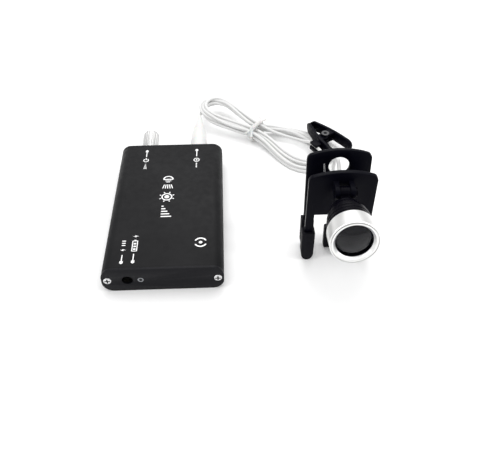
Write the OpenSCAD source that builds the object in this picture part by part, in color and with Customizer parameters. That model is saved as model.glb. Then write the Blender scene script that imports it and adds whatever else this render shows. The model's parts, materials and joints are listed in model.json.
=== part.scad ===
// Clip-on LED headlight set: a battery pack, a cable with a lapel clip, and a lamp on a
// spring clip. Millimetres. The origin is the centre of the pack's base, X is the pack's
// width towards the lamp, Y is the pack's length, and Z is up from the surface.

/* [Battery pack] */
// Width of the extruded case
case_w = 60; // [56:1:70]
// Length of the case over both end plates
case_l = 100; // [94:1:120]
// Height of the case
case_h = 15; // [15:0.5:18]
// Radius of the case's long edges
case_edge_r = 6; // [4:0.5:7]
// Wall of the extruded case
case_wall = 1.5; // [1:0.1:1.8]
// Thickness of each end plate
end_plate_t = 1.5; // [1:0.1:2]
// Length of the dimmer knob
knob_l = 17.5; // [12:0.5:18]
// Diameter of the dimmer knob
knob_d = 10; // [8:0.5:10]

/* [Lamp] */
// Outer diameter of the front bezel
bezel_d = 22.2; // [21:0.2:24]
// Length of the front bezel
bezel_l = 9.6; // [8:0.2:11]
// Distance from the tilt hinge to the bezel's front
lamp_reach = 31; // [30:0.5:34]
// Rest angle of the lamp above the horizontal
lamp_rest_angle = 8.8; // [0:0.2:12]

/* [Spring clip] */
// Width of the front plate
plate_w = 32.5; // [31:0.5:34]
// Width of the rear plate
rear_plate_w = 31.4; // [30:0.2:33]
// Height of the front plate above its leg tips
front_plate_h = 56.3; // [54:0.1:60]
// Height of the rear plate along its own face
rear_plate_h = 58.8; // [56:0.1:62]
// Thickness of each plate
plate_t = 2.4; // [2:0.1:2.6]
// Lean of the rear plate away from the front plate
rear_lean = 7; // [6:0.5:8]
// Diameter of the round hole in the rear plate
rear_hole_d = 10.2; // [9:0.2:12]

/* [Cable] */
// Diameter of the cable
cable_d = 2; // [1.6:0.1:2.2]

/* [Hidden] */
$fn = 64;
eps = 0.01;

case_mid_z = case_h / 2;
tube_l = case_l - 2 * end_plate_t;
front_y = -case_l / 2;
rear_y = case_l / 2;
inner_front_y = front_y + end_plate_t;
inner_rear_y = rear_y - end_plate_t;
screw_x = 27;
screw_port_r = 2.6;
screw_shank_r = 1.3;
screw_head_r = 2;
screw_head_t = 1.1;
screw_l = 8;

dc_x = -17.3;
dc_bore_r = 2.75;
dc_barrel_r = 3.6;
dc_pin_r = 0.8;
dc_wall = 3.5;
dc_inner_r = 2.5;
dc_pin_recess = 3.6;
dc_depth = 9;
led_x = -10.8;
led_r = 1.5;
board_z = 2.4;
board_t = 1.2;

dimmer_x = -14.3;
bushing_r = 3.6;
dimmer_shaft_r = 3;
shaft_clearance = 0.05;
output_x = 15.5;
output_bore_r = 2.4;
output_barrel_r = 3.4;
plug_base_r = 5.4;
plug_waist_r = 5;
plug_tip_r = 4.3;
plug_l = 22;
relief_l = 18;

head_x = 87.2;
front_face_y = -31.5;
front_back_y = front_face_y + plate_t;
rear_foot_y = -24.1;
leg_w = 4;
sleeve_w = 6.3;
sleeve_t = 5.2;
front_sleeve_h = 18.7;
body_foot = 30.3;
corner_r = 3;
rear_hole_h = 49.7;

clip_pin_pos = [head_x, -24.2, 36];
clip_pin_r = 1.2;
ear_r = 3;
front_ear_x = 12;
rear_ear_x = 9.6;
ear_t = 2;
spring_r = 2.5;
spring_wire_r = 0.4;
spring_turns = 5;

lamp_base = [head_x, -36, 41.3];
hinge_rise = 7.1;
lamp_pivot = lamp_base + [0, 0, hinge_rise];
hinge_up = hinge_rise * cos(lamp_rest_angle);
hinge_forward = hinge_rise * sin(lamp_rest_angle);
lamp_pin_r = 1.25;
lamp_ear_r = 3.2;
lamp_ear_in = 2.45;
lamp_ear_t = 2.3;
tongue_t = 4.6;
neck_r = 7.4;
barrel_r = 10.2;
lens_open_r = 8.45;

lapel_pivot = [95, 66, 6.2];
lapel_turn = -59.2;
lapel_splay = 10.6;
jaw_h = 6.6;
jaw_t = 1.7;
jaw_grip = 16.4;
jaw_finger = 17.2;
lapel_pin_r = 1;
boss_x = 4;

gland_z = 46;
ring_sides = 8;
// The cable from the plug's strain relief into the hank's narrow loop.
plug_route = [[15.5, 89.8, 7.5], [15.4, 92, 7.6], [15.5, 94, 7.8], [15.8, 96, 8], [16.4, 99, 8]];
// The cable from the hank through the lapel clip's holder, along the surface, and up
// through the rear plate's hole to the gland.
lamp_route = [[79.5, 66.6, 3], [82, 65.2, 3.8], [84.2, 63, 5.2], [85.7, 60.5, 6], [87.2, 57.9, 6.1],
              [89.3, 54.4, 6.1], [91, 51.2, 5.8], [92.4, 48.2, 4.9], [93.5, 45, 3.8], [94.2, 41.5, 3.7],
              [94.5, 38, 3.4], [94.8, 33.5, 1.8], [94.8, 29, 1], [94.2, 24.5, 1.5], [93.4, 20.5, 3.4],
              [92.6, 17, 7], [91.9, 14, 12], [91.2, 11.4, 18], [90.5, 9, 24.5], [89.8, 6, 31.5],
              [89.1, 2, 38.5], [88.5, -3, 44], [87.9, -9, 47.6], [87.5, -15, 48.6], [87.2, -20, 47.8],
              [87.2, -24, 46.4], [87.2, -26.6, 46]];

// The hank's outline: a narrow loop held up by the plug, a tied waist, and a wide loop.
narrow_loop = [[52, 69.8], [46, 72.2], [40, 71.8], [33, 74.5], [27.5, 78], [22, 84], [17.8, 90], [15, 97],
               [16.5, 104], [21, 109], [27, 111], [32, 110], [37, 105.5], [42, 99], [48, 90.5],
               [53, 84.5], [57.2, 79.2]];
waist = [[44, 76], [46.4, 72.4], [52, 69.8], [60, 71], [58.5, 79], [55, 81.8]];
wide_loop = [[52, 69], [55, 66.5], [59, 58.5], [65.5, 46], [72, 37.5], [78, 34.5], [88, 35], [97, 38.5],
             [103, 45], [104.5, 54], [102, 64], [95, 74], [86, 80], [76, 83.5], [66, 84.8], [59, 79.5]];
narrow_loop_z = 5;
narrow_loop_h = 5;
waist_h = 7.6;
wide_loop_h = 2.6;
tie_pos = [52, 76];
tie_turn = -39;

function unit(v) = v / norm(v);
function tangent(p, i) = unit(p[min(i + 1, len(p) - 1)] - p[max(i - 1, 0)]);
function side_of(t) = unit(cross(t, abs(t[2]) > 0.9 ? [0, 1, 0] : [0, 0, 1]));

// A tube of radius r along the points p, with flat ends.
module sweep(p, r, sides) {
    rings = [for (i = [0:len(p) - 1]) let (t = tangent(p, i), a = side_of(t), b = cross(t, a))
             for (k = [0:sides - 1]) p[i] + r * (cos(360 * k / sides) * a + sin(360 * k / sides) * b)];
    last = (len(p) - 1) * sides;
    walls = [for (i = [0:len(p) - 2]) for (k = [0:sides - 1])
             [i * sides + k, i * sides + (k + 1) % sides,
              (i + 1) * sides + (k + 1) % sides, (i + 1) * sides + k]];
    caps = [[for (k = [sides - 1:-1:0]) k], [for (k = [0:sides - 1]) last + k]];
    polyhedron(points = rings, faces = concat(walls, caps));
}

// A rectangle with its corners rounded, as a union of true circles and squares.
module rounded_rect(w, h, r) {
    square([w - 2 * r, h], center = true);
    square([w, h - 2 * r], center = true);
    for (x = [-1, 1], y = [-1, 1]) translate([x * (w / 2 - r), y * (h / 2 - r)]) circle(r);
}

// A cylinder along Y, starting at y and running towards +Y.
module y_cylinder(x, y, z, r, l) {
    translate([x, y, z]) rotate([-90, 0, 0]) cylinder(r = r, h = l);
}

// A cylinder along X, centred on pos.
module x_cylinder(pos, r, l) {
    translate(pos) rotate([0, 90, 0]) cylinder(r = r, h = l, center = true);
}

module case_profile(inset) {
    rounded_rect(case_w - 2 * inset, case_h - 2 * inset, case_edge_r - inset);
}

// A prism of the case's profile from y0 to y1.
module case_prism(y0, y1, inset) {
    translate([0, y1, case_mid_z]) rotate([90, 0, 0]) linear_extrude(y1 - y0) case_profile(inset);
}

// Places children in the rear plate's own frame: X across, Z up the plate, Y through it.
module on_rear_plate() {
    translate([head_x, rear_foot_y, 0]) rotate([-rear_lean, 0, 0]) children();
}

// Places children in the lamp's frame: Z runs forward along the beam, and Y is up.
module on_lamp() {
    translate(lamp_base) rotate([90 - lamp_rest_angle, 0, 0]) children();
}

// Places children in the lapel clip's frame: X towards the finger ends, Z along the pin.
module on_lapel() {
    translate(lapel_pivot) rotate([0, 0, lapel_turn]) children();
}

// ---- battery pack ----

module case_tube() {
    color([0.08, 0.08, 0.09]) difference() {
        union() {
            difference() {
                case_prism(inner_front_y, inner_rear_y, 0);
                case_prism(inner_front_y - 1, inner_rear_y + 1, case_wall);
            }
            intersection() {
                case_prism(inner_front_y, inner_rear_y, case_wall / 2);
                for (s = [-1, 1]) {
                    y_cylinder(s * screw_x, inner_front_y, case_mid_z, screw_port_r, tube_l);
                    for (z = [board_z - 1.5, board_z + board_t + 0.1])
                        translate([s * 26.6 - 2.4, inner_front_y, z]) cube([4.8, tube_l, 1.4]);
                }
            }
        }
        for (s = [-1, 1])
            y_cylinder(s * screw_x, inner_front_y - 1, case_mid_z, screw_shank_r + 0.1, tube_l + 2);
    }
}

module end_plate_blank(y0) {
    difference() {
        case_prism(y0, y0 + end_plate_t, 0);
        for (s = [-1, 1])
            y_cylinder(s * screw_x, y0 - 1, case_mid_z, screw_shank_r + 0.2, end_plate_t + 2);
    }
}

module front_end_plate() {
    color([0.05, 0.05, 0.055]) difference() {
        end_plate_blank(front_y);
        for (s = [-1, 1]) y_cylinder(s * screw_x, front_y - 1, case_mid_z, screw_head_r + 0.1, 1.7);
        y_cylinder(dc_x, front_y - 1, case_mid_z, dc_bore_r, end_plate_t + 2);
        y_cylinder(led_x, front_y - 1, case_mid_z, led_r + 0.05, end_plate_t + 2);
    }
}

module rear_end_plate() {
    color([0.05, 0.05, 0.055]) difference() {
        end_plate_blank(inner_rear_y);
        for (s = [-1, 1]) y_cylinder(s * screw_x, rear_y - 0.7, case_mid_z, screw_head_r + 0.1, 1.7);
        y_cylinder(dimmer_x, inner_rear_y - 1, case_mid_z, bushing_r + 0.05, end_plate_t + 2);
        y_cylinder(output_x, inner_rear_y - 1, case_mid_z, output_barrel_r + 0.05, end_plate_t + 2);
    }
}

// A pan head screw on the Y axis, its head's outer face at y = 0, running towards +Y.
module case_screw() {
    difference() {
        union() {
            y_cylinder(0, 0, 0, screw_head_r, screw_head_t);
            y_cylinder(0, screw_head_t - eps, 0, screw_shank_r, screw_l - screw_head_t);
        }
        for (a = [0, 90]) rotate([0, a, 0]) translate([-1.1, -1, -0.25]) cube([2.2, 1.6, 0.5]);
    }
}

module front_screws() {
    color("silver") for (s = [-1, 1]) translate([s * screw_x, front_y - 0.4, case_mid_z]) case_screw();
}

module rear_screws() {
    color("silver") for (s = [-1, 1])
        translate([s * screw_x, rear_y + 0.4, case_mid_z]) rotate([0, 0, 180]) case_screw();
}

module dc_jack() {
    color([0.1, 0.1, 0.1]) difference() {
        union() {
            y_cylinder(dc_x, inner_front_y, case_mid_z, dc_barrel_r, dc_depth);
            translate([dc_x - 4.4, inner_front_y + 2, board_z + board_t]) cube([8.8, 9, 6.5]);
        }
        y_cylinder(dc_x, front_y, case_mid_z, dc_bore_r, dc_wall);
        y_cylinder(dc_x, front_y, case_mid_z, dc_inner_r, end_plate_t + dc_depth - 1);
    }
}

module dc_contact_pin() {
    color("gold") y_cylinder(dc_x, front_y + dc_pin_recess, case_mid_z, dc_pin_r,
                             inner_front_y + dc_depth - 1 - front_y - dc_pin_recess);
}

module charge_led() {
    color([0.75, 0.78, 0.8]) union() {
        y_cylinder(led_x, front_y, case_mid_z, led_r, 5);
        y_cylinder(led_x, inner_front_y + 2, case_mid_z, 1.9, 1);
    }
}

module circuit_board() {
    color("darkgreen") translate([-26, inner_front_y + 0.5, board_z]) cube([52, 36, board_t]);
}

module board_components() {
    top = board_z + board_t;
    color("dimgray") {
        translate([2, -40, top]) cube([6, 5, 1.6]);
        translate([-6, -30, top]) cube([4, 4, 1.2]);
        translate([12, -30, top]) cube([7, 7, 3]);
        translate([-20, -24, top]) cube([3.2, 1.6, 1.2]);
        translate([-20, -20, top]) cube([3.2, 1.6, 1.2]);
        translate([6, -22, top]) cylinder(r = 2.5, h = 5.5);
        translate([-22, -34, top]) cube([4.5, 3.4, 1.1]);
        translate([17, -18, top]) cube([5, 3.5, 4]);
    }
}

module battery_cell() {
    color("silver") {
        translate([-21, -9, 3.2]) cube([42, 42, 8.4]);
        translate([-19, -12.2, 7]) cube([38, 3.3, 1.2]);
    }
}

module foam_pads() {
    color([0.25, 0.25, 0.26]) for (z = [case_wall, 11.6], x = [-15, 5])
        translate([x, -2, z]) cube([10, 28, z < 5 ? 3.2 - case_wall : 1.8]);
}

module cell_leads() {
    color("red") for (x = [-10, -7]) {
        translate([x, -15.5, board_z + board_t + 0.5]) rotate([-90, 0, 0]) cylinder(r = 0.5, h = 3.4);
        translate([x, -15.5, board_z + board_t]) cylinder(r = 0.5, h = 1);
    }
}

module dimmer_body() {
    color([0.3, 0.32, 0.3]) difference() {
        union() {
            translate([dimmer_x - 5.5, inner_rear_y - 9, 2.4]) cube([11, 9, 10]);
            y_cylinder(dimmer_x, inner_rear_y - eps, case_mid_z, bushing_r, end_plate_t + 1.7);
        }
        y_cylinder(dimmer_x, inner_rear_y - 6, case_mid_z, dimmer_shaft_r + shaft_clearance, 12);
    }
}

module dimmer_nut() {
    color("silver") difference() {
        y_cylinder(dimmer_x, rear_y, case_mid_z, 4.7, 1.4);
        y_cylinder(dimmer_x, rear_y - 1, case_mid_z, bushing_r, 4);
    }
}

module dimmer_shaft() {
    color("silver") y_cylinder(dimmer_x, inner_rear_y - 5.6, case_mid_z, dimmer_shaft_r, 15.6);
}

module dimmer_knob() {
    knob_y = rear_y + 1.9;
    flutes = 24;
    color([0.85, 0.86, 0.88]) difference() {
        y_cylinder(dimmer_x, knob_y, case_mid_z, knob_d / 2, knob_l);
        y_cylinder(dimmer_x, knob_y - 1, case_mid_z, dimmer_shaft_r, inner_rear_y + 10 - knob_y + 1);
        for (k = [0:flutes - 1])
            translate([dimmer_x, knob_y + 1.5, case_mid_z]) rotate([0, k * 360 / flutes, 0])
                translate([knob_d / 2, 0, 0]) rotate([-90, 0, 0]) cylinder(r = 0.25, h = knob_l - 3);
    }
}

module output_jack() {
    color([0.1, 0.1, 0.1]) difference() {
        union() {
            translate([output_x - 4.5, inner_rear_y - 11, 2.4]) cube([9, 11, 9.6]);
            y_cylinder(output_x, inner_rear_y - eps, case_mid_z, output_barrel_r, end_plate_t);
        }
        y_cylinder(output_x, inner_rear_y - 10, case_mid_z, output_bore_r, 14);
    }
}

// The plug's metal pin and its moulded grip, one solid of revolution along Y.
module output_plug() {
    color("white") translate([output_x, rear_y, case_mid_z]) rotate([-90, 0, 0]) rotate_extrude()
        polygon([[0, -9.5], [output_bore_r - 0.1, -9], [output_bore_r - 0.1, 0.2],
                 [plug_base_r, 0.2], [plug_base_r, 3], [plug_waist_r, 12],
                 [plug_tip_r, plug_l], [0, plug_l]]);
}

module plug_strain_relief() {
    ribs = 5;
    rib_l = 3;
    color("white") translate([output_x, rear_y + plug_l, case_mid_z]) rotate([-90, 0, 0])
        rotate_extrude() polygon(concat([[0, 0]],
            [for (i = [0:ribs - 1]) for (q = [[4.1, 0], [4.1, 0.6], [3.5, 0.62]])
             [q[0] * (1 - 0.13 * i), (i + q[1]) * rib_l]],
            [[1.5, ribs * rib_l], [1.15, relief_l], [0, relief_l]]));
}

// ---- cable ----

module cord_plug_end() {
    color("white") sweep(plug_route, cable_d / 2, ring_sides);
}

module cable_hank() {
    color("white") {
        translate([0, 0, narrow_loop_z]) linear_extrude(narrow_loop_h) polygon(narrow_loop);
        linear_extrude(waist_h) polygon(waist);
        linear_extrude(wide_loop_h) polygon(wide_loop);
    }
}

module cable_tie() {
    color("white") translate([tie_pos[0], tie_pos[1], 0]) rotate([0, 0, tie_turn]) {
        difference() {
            translate([-1.5, -8.4, 0]) cube([3, 16.8, 11.2]);
            translate([-2.5, -7.4, -1]) cube([5, 14.8, 11.2]);
        }
        translate([-1, -10.7, 0]) cube([2, 2.6, 1.2]);
    }
}

module cord_lamp_end() {
    color("white") sweep(lamp_route, cable_d / 2, ring_sides);
}

module cable_gland() {
    color([0.1, 0.1, 0.1]) difference() {
        union() {
            y_cylinder(head_x, front_back_y, gland_z, 2.6, 1.2);
            y_cylinder(head_x, front_back_y, gland_z, 1.8, 2.5);
            y_cylinder(head_x, front_face_y + 0.4, gland_z, 1.5, plate_t);
        }
        y_cylinder(head_x, front_back_y + 1.6, gland_z, cable_d / 2, 3);
    }
}

// ---- spring clip ----

// A clip plate's outline: a body with rounded corners and two legs, X across and Y up.
module plate_outline(width, height, foot) {
    top_r = 42;
    offset(r = corner_r) offset(delta = -corner_r) intersection() {
        translate([-width / 2, foot]) square([width, height - foot]);
        translate([0, height - top_r]) circle(top_r, $fn = 160);
    }
    translate([-width / 2, foot]) square([width, corner_r + 1]);
    for (s = [-1, 1])
        translate([s * (width - leg_w) / 2, (foot + 2) / 2]) square([leg_w, foot], center = true);
}

// Extrudes a 2-D outline drawn in X and Z through the plate's thickness, towards +Y.
module upright(t) {
    translate([0, t, 0]) rotate([90, 0, 0]) linear_extrude(t) children();
}

module ear_pair(x, reach_y, web_t) {
    for (s = [-1, 1]) {
        x_cylinder([head_x + s * x, clip_pin_pos[1], clip_pin_pos[2]], ear_r, ear_t);
        translate([head_x + s * x - ear_t / 2, min(clip_pin_pos[1], reach_y), clip_pin_pos[2] - ear_r])
            cube([ear_t, abs(reach_y - clip_pin_pos[1]) + web_t, 2 * ear_r]);
    }
}

module front_plate() {
    color([0.06, 0.06, 0.065]) difference() {
        union() {
            translate([head_x, front_face_y, 0]) upright(plate_t)
                plate_outline(plate_w, front_plate_h, body_foot);
            ear_pair(front_ear_x, front_back_y - 0.5, 0);
            for (s = [-1, 1]) {
                x_cylinder([head_x + s * (lamp_ear_in + lamp_ear_t / 2), lamp_pivot[1], lamp_pivot[2]],
                           lamp_ear_r, lamp_ear_t);
                translate([head_x + s * (lamp_ear_in + lamp_ear_t / 2) - lamp_ear_t / 2, lamp_pivot[1],
                           lamp_pivot[2] - lamp_ear_r])
                    cube([lamp_ear_t, front_face_y - lamp_pivot[1] + 0.5, 2 * lamp_ear_r]);
            }
        }
        x_cylinder(clip_pin_pos, clip_pin_r, plate_w);
        x_cylinder(lamp_pivot, lamp_pin_r, 20);
        y_cylinder(head_x, front_face_y - 1, gland_z, 1.5, plate_t + 2);
    }
}

// Rubber sleeves over the two legs of a plate whose front face is at y = 0.
module leg_sleeves(width, height) {
    tip_l = 4.6;
    for (s = [-1, 1]) translate([s * (width - leg_w) / 2, plate_t / 2 - sleeve_t / 2, 0]) difference() {
        upright(sleeve_t) {
            translate([-sleeve_w / 2, tip_l]) square([sleeve_w, height - tip_l]);
            translate([0, tip_l]) scale([1, 2 * tip_l / sleeve_w]) circle(sleeve_w / 2);
        }
        translate([-leg_w / 2, (sleeve_t - plate_t) / 2, 1]) cube([leg_w, plate_t, height]);
    }
}

module front_sleeves() {
    color([0.12, 0.12, 0.12]) translate([head_x, front_face_y, 0]) leg_sleeves(plate_w, front_sleeve_h);
}

module rear_plate() {
    stem_w = 4;
    color([0.06, 0.06, 0.065]) difference() {
        union() {
            on_rear_plate() upright(plate_t) difference() {
                union() {
                    plate_outline(rear_plate_w, rear_plate_h, body_foot + 2);
                    translate([-stem_w / 2, 3]) square([stem_w, body_foot]);
                }
                translate([0, rear_hole_h]) circle(rear_hole_d / 2);
            }
            ear_pair(rear_ear_x, -19.4, 0.7);
        }
        x_cylinder(clip_pin_pos, clip_pin_r + 0.05, 2 * rear_ear_x + 2 * ear_t);
    }
}

module rear_sleeves() {
    color([0.12, 0.12, 0.12]) on_rear_plate() leg_sleeves(rear_plate_w, front_sleeve_h);
}

module centre_pad() {
    pad_w = 9;
    pad_h = 12.5;
    color([0.12, 0.12, 0.12]) on_rear_plate() difference() {
        translate([-pad_w / 2, -0.9, 0.4]) cube([pad_w, plate_t + 1.8, pad_h]);
        translate([-2, 0, 3]) cube([4, plate_t, pad_h]);
    }
}

module clip_pin() {
    color("silver") x_cylinder(clip_pin_pos, clip_pin_r, 2 * front_ear_x + ear_t);
}

// Torsion spring: two coils as plain sleeves, each with one leg up each plate. The left
// coil's rear leg is the longer one.
module clip_spring() {
    coil_l = spring_turns * 2 * spring_wire_r;
    leg_w = 2 * spring_wire_r;
    color("silver") for (s = [-1, 1]) {
        translate([head_x + s * 4.5, clip_pin_pos[1], clip_pin_pos[2]]) rotate([0, 90, 0])
            difference() {
                cylinder(r = spring_r + spring_wire_r, h = coil_l, center = true);
                cylinder(r = spring_r - spring_wire_r, h = coil_l + 2, center = true);
            }
        translate([head_x + s * (4.5 + coil_l / 2 - spring_wire_r) - leg_w / 2,
                   clip_pin_pos[1] + spring_r - spring_wire_r, clip_pin_pos[2]])
            rotate([-9, 0, 0]) cube([leg_w, leg_w, s < 0 ? 15 : 10]);
        translate([head_x + s * (4.5 - coil_l / 2 + spring_wire_r) - leg_w / 2,
                   clip_pin_pos[1] - spring_r - spring_wire_r, clip_pin_pos[2]])
            rotate([6, 0, 0]) cube([leg_w, leg_w, 12]);
    }
}

// ---- lamp ----

// The tilt hinge's screw, with its head on the right.
module lamp_pin() {
    half_l = lamp_ear_in + lamp_ear_t;
    color("silver") difference() {
        union() {
            x_cylinder(lamp_pivot, lamp_pin_r, 2 * half_l);
            x_cylinder(lamp_pivot + [half_l + 0.5, 0, 0], 2.1, 1);
        }
        translate(lamp_pivot + [half_l + 0.5, -3, -0.3]) cube([1, 6, 0.6]);
    }
}

// The barrel's rear cap with the tongue that rises to the tilt hinge.
module lamp_knuckle() {
    barrel_end_r = 3;
    color([0.05, 0.05, 0.055]) on_lamp() difference() {
        union() {
            translate([0, hinge_up, hinge_forward]) rotate([0, 90, 0])
                cylinder(r = barrel_end_r, h = tongue_t, center = true);
            translate([-tongue_t / 2, 0, 0]) rotate([90, 0, 90]) linear_extrude(tongue_t)
                polygon([[hinge_up, hinge_forward - barrel_end_r], [hinge_up - 2.4, hinge_forward - 2],
                         [-4, 3.8], [-4, 5.2], [5.6, 5.2], [hinge_up, hinge_forward + barrel_end_r]]);
            translate([0, 0, 5]) cylinder(r = neck_r - 0.6, h = 0.9);
            translate([0, 0, 5.8]) cylinder(r = neck_r, h = 1.4);
            translate([0, 0, 7.1]) cylinder(r = neck_r - 1.4, h = 2.4);
        }
        translate([0, hinge_up, hinge_forward]) rotate([0, 90, 0])
            cylinder(r = lamp_pin_r + 0.05, h = 10, center = true);
    }
}

// The barrel: a finned heat sink that steps up from the neck, bored for the optics.
module lamp_barrel() {
    front = lamp_reach - bezel_l;
    color([0.04, 0.04, 0.045]) on_lamp() difference() {
        rotate_extrude() polygon([[0, 7.2], [neck_r, 7.2], [neck_r, 9.4], [8.6, 9.4], [8.6, 11.2],
                                  [7.8, 11.2], [7.8, 12.2], [9.6, 12.2], [9.6, 14.2], [8.8, 14.2],
                                  [8.8, 15], [barrel_r, 15], [barrel_r, front - 0.02],
                                  [9.2, front - 0.02], [9.2, front + 3], [0, front + 3]]);
        translate([0, 0, 7]) cylinder(r = neck_r - 1.4, h = 2.52);
        translate([0, 0, 14]) cylinder(r = 8.2, h = 20);
    }
}

module led_board() {
    color("white") on_lamp() translate([0, 0, 14]) cylinder(r = 8, h = 1.2);
}

module led_emitter() {
    color("yellow") on_lamp() {
        translate([-1.8, -1.8, 15.2]) cube([3.6, 3.6, 0.7]);
        translate([0, 0, 15.9]) intersection() {
            sphere(1.4);
            cylinder(r = 2, h = 2);
        }
    }
}

module lens_holder() {
    color([0.15, 0.15, 0.16]) on_lamp() translate([0, 0, 16.6]) difference() {
        cylinder(r = 8.1, h = 9.9);
        translate([0, 0, -1]) cylinder(r = 6.9, h = 12);
    }
}

// Plano-convex condenser lens, its curved face to the front.
module lens() {
    rim_z = 26.6;
    dome_r = 16;
    dome_edge = 8.2;
    sag = dome_r - sqrt(dome_r * dome_r - dome_edge * dome_edge);
    color([0.3, 0.33, 0.36]) on_lamp() {
        translate([0, 0, rim_z]) cylinder(r = 9.1, h = 1.7);
        intersection() {
            translate([0, 0, rim_z + 1.7 + sag - dome_r]) sphere(dome_r, $fn = 96);
            translate([0, 0, rim_z + 1.6]) cylinder(r = dome_edge, h = 6);
        }
    }
}

module lens_seal() {
    color([0.1, 0.1, 0.1]) on_lamp() translate([0, 0, 28.35]) difference() {
        cylinder(r = 9.2, h = 0.8);
        translate([0, 0, -1]) cylinder(r = 8.3, h = 3);
    }
}

// The bright front ring, screwed over the barrel's nose.
module bezel() {
    back = lamp_reach - bezel_l;
    r = bezel_d / 2;
    color([0.85, 0.86, 0.87]) on_lamp() rotate_extrude()
        polygon([[9.3, back], [r - 0.3, back], [r, back + 0.3], [r, lamp_reach - 0.4],
                 [r - 0.4, lamp_reach], [lens_open_r + 0.95, lamp_reach],
                 [lens_open_r, lamp_reach - 1.4], [lens_open_r, lamp_reach - 1.8],
                 [9.3, lamp_reach - 1.8]]);
}

// ---- lapel clip ----

// One jaw's bent strip seen along the pin, on the +Y side: thin, and bowed outwards.
module jaw_strip(side) {
    steps = 14;
    bow = 1.5;
    span = jaw_grip + jaw_finger;
    function path_y(t) = 0.25 + span * t * tan(lapel_splay) + bow * sin(180 * t);
    inner = [for (i = [0:steps]) [-jaw_grip + span * i / steps, side * path_y(i / steps)]];
    outer = [for (i = [steps:-1:0]) [-jaw_grip + span * i / steps, side * (path_y(i / steps) + jaw_t)]];
    polygon(concat(inner, outer));
}

// A jaw: the strip cut to an oval, with two ears towards the pin.
module jaw(side, ear_z) {
    intersection() {
        translate([0, 0, -jaw_h / 2]) linear_extrude(jaw_h) jaw_strip(side);
        union() {
            for (x = [-jaw_grip + jaw_h / 2, jaw_finger - jaw_h / 2])
                translate([x, 0, 0]) rotate([90, 0, 0]) cylinder(r = jaw_h / 2, h = 40, center = true);
            translate([-jaw_grip + jaw_h / 2, -20, -jaw_h / 2])
                cube([jaw_grip + jaw_finger - jaw_h, 40, jaw_h]);
        }
    }
    for (s = [-1, 1]) translate([0, 0, s * ear_z - 0.5]) difference() {
        union() {
            cylinder(r = 2.6, h = 1);
            translate([-2.6, side > 0 ? 0 : -5.2, 0]) cube([5.2, 5.2, 1]);
        }
        translate([0, 0, -1]) cylinder(r = lapel_pin_r + (side > 0 ? 0.05 : 0), h = 3);
    }
}

module lapel_inner_jaw() {
    color([0.07, 0.07, 0.075]) on_lapel() jaw(1, 2.4);
}

// The jaw that carries the boss for the cable holder.
module lapel_outer_jaw() {
    color([0.09, 0.09, 0.095]) on_lapel() {
        jaw(-1, 1.3);
        translate([boss_x, -5.6, 0]) rotate([90, 0, 0]) cylinder(r = 2.4, h = 1.7);
        translate([boss_x, -7.2, 0]) rotate([90, 0, 0]) cylinder(r = 1.2, h = 2.5);
    }
}

module lapel_pin() {
    color("dimgray") on_lapel() cylinder(r = lapel_pin_r, h = 6.2, center = true);
}

module lapel_spring() {
    color("silver") on_lapel() {
        difference() {
            cylinder(r = 1.7, h = 1.4, center = true);
            cylinder(r = 1.2, h = 5, center = true);
        }
        for (s = [-1, 1]) translate([1, s * 1.35 - 0.25, s * 0.4 - 0.3])
            rotate([0, 0, s * 14]) cube([8, 0.5, 0.6]);
    }
}

// A small hook on the outer jaw's boss that the cable snaps into.
module cable_holder() {
    color([0.06, 0.06, 0.065]) on_lapel() difference() {
        union() {
            translate([boss_x, -7.5, 0]) rotate([90, 0, 0]) cylinder(r = 2.2, h = 1.4);
            translate([boss_x - 3, -12.6, -3.3]) cube([6, 4.2, 5.5]);
        }
        translate([boss_x, -7, 0]) rotate([90, 0, 0]) cylinder(r = 1.25, h = 3);
        translate([boss_x - 5, -10.6, -0.1]) rotate([0, 90, 0]) cylinder(r = cable_d / 2 + 0.05, h = 10);
        translate([boss_x - 5, -14, -0.9]) cube([10, 3.4, 1.6]);
    }
}

case_tube();
front_end_plate();
rear_end_plate();
front_screws();
rear_screws();
dc_jack();
dc_contact_pin();
charge_led();
circuit_board();
board_components();
battery_cell();
foam_pads();
cell_leads();
dimmer_body();
dimmer_nut();
dimmer_shaft();
dimmer_knob();
output_jack();
output_plug();
plug_strain_relief();
cord_plug_end();
cable_hank();
cable_tie();
cord_lamp_end();
cable_gland();
front_plate();
front_sleeves();
rear_plate();
rear_sleeves();
centre_pad();
clip_pin();
clip_spring();
lamp_pin();
lamp_knuckle();
lamp_barrel();
led_board();
led_emitter();
lens_holder();
lens();
lens_seal();
bezel();
cable_holder();
lapel_inner_jaw();
lapel_outer_jaw();
lapel_pin();
lapel_spring();
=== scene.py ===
"""Looks for a clip-on LED headlight set: battery pack, tied cable, lapel clip and lamp clip.

Blender's own values are in metres. Names that end in _MM or _mm, lathe profiles, the cable's
route and other numbers that are multiplied by MM are in millimetres.
"""
import json
import math

import bmesh
import bpy
import numpy as np
from mathutils import Matrix, Vector


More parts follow.
